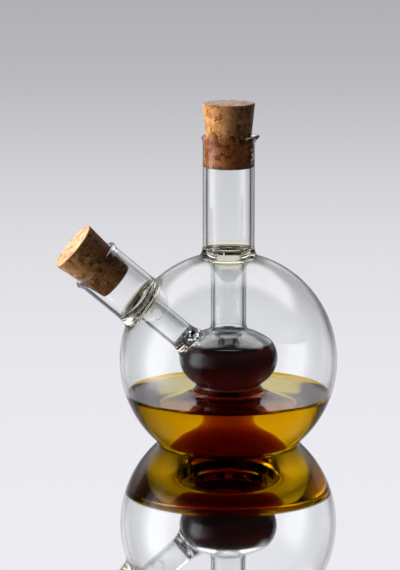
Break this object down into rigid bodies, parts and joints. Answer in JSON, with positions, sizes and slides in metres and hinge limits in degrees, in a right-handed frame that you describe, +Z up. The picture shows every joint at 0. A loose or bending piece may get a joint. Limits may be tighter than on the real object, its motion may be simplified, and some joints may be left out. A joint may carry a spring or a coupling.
{
  "type": "dual oil and vinegar bottle",
  "caption": "Blown glass globe on a flat base with an inner vessel sealed to its top neck, a slanted side spout, two tapered corks and two liquids.",
  "frame": {"origin": "centre of the flat base on the resting plane, on the globe's upright axis", "axes": "+Z up along the neck, -X towards the side spout, +X towards the pouring lip, +Y to the back"},
  "size_m": [0.1356, 0.105, 0.1648],
  "materials": {
    "clear_glass": "fire-polished clear borosilicate glass",
    "seal_glass": "thick melted glass with a faint olive tint",
    "top_cork": "granulated cork, oil-darkened inside the neck",
    "side_cork": "granulated cork, dry",
    "oil": "clear golden oil",
    "vinegar": "near-black red vinegar"
  },
  "bodies": {
    "glass_body": {"outer_globe": "clear_glass", "top_neck": "clear_glass", "top_seal_ring": "seal_glass", "inner_stem": "clear_glass", "inner_bulb": "clear_glass", "side_spout": "clear_glass", "side_seal_ring": "seal_glass", "inner_side_tube": "clear_glass", "oil": "oil", "vinegar": "vinegar"},
    "top_cork_body": {"top_cork": "top_cork"},
    "side_cork_body": {"side_cork": "side_cork"}
  },
  "joints": [
    {"name": "top_cork_pull", "type": "slide", "parent": "glass_body", "child": "top_cork_body", "axis": [0, 0, 1], "range_m": [0, 0.04]},
    {"name": "side_cork_pull", "type": "slide", "parent": "glass_body", "child": "side_cork_body", "axis": [-0.7604, 0, 0.6494], "range_m": [0, 0.04]}
  ]
}
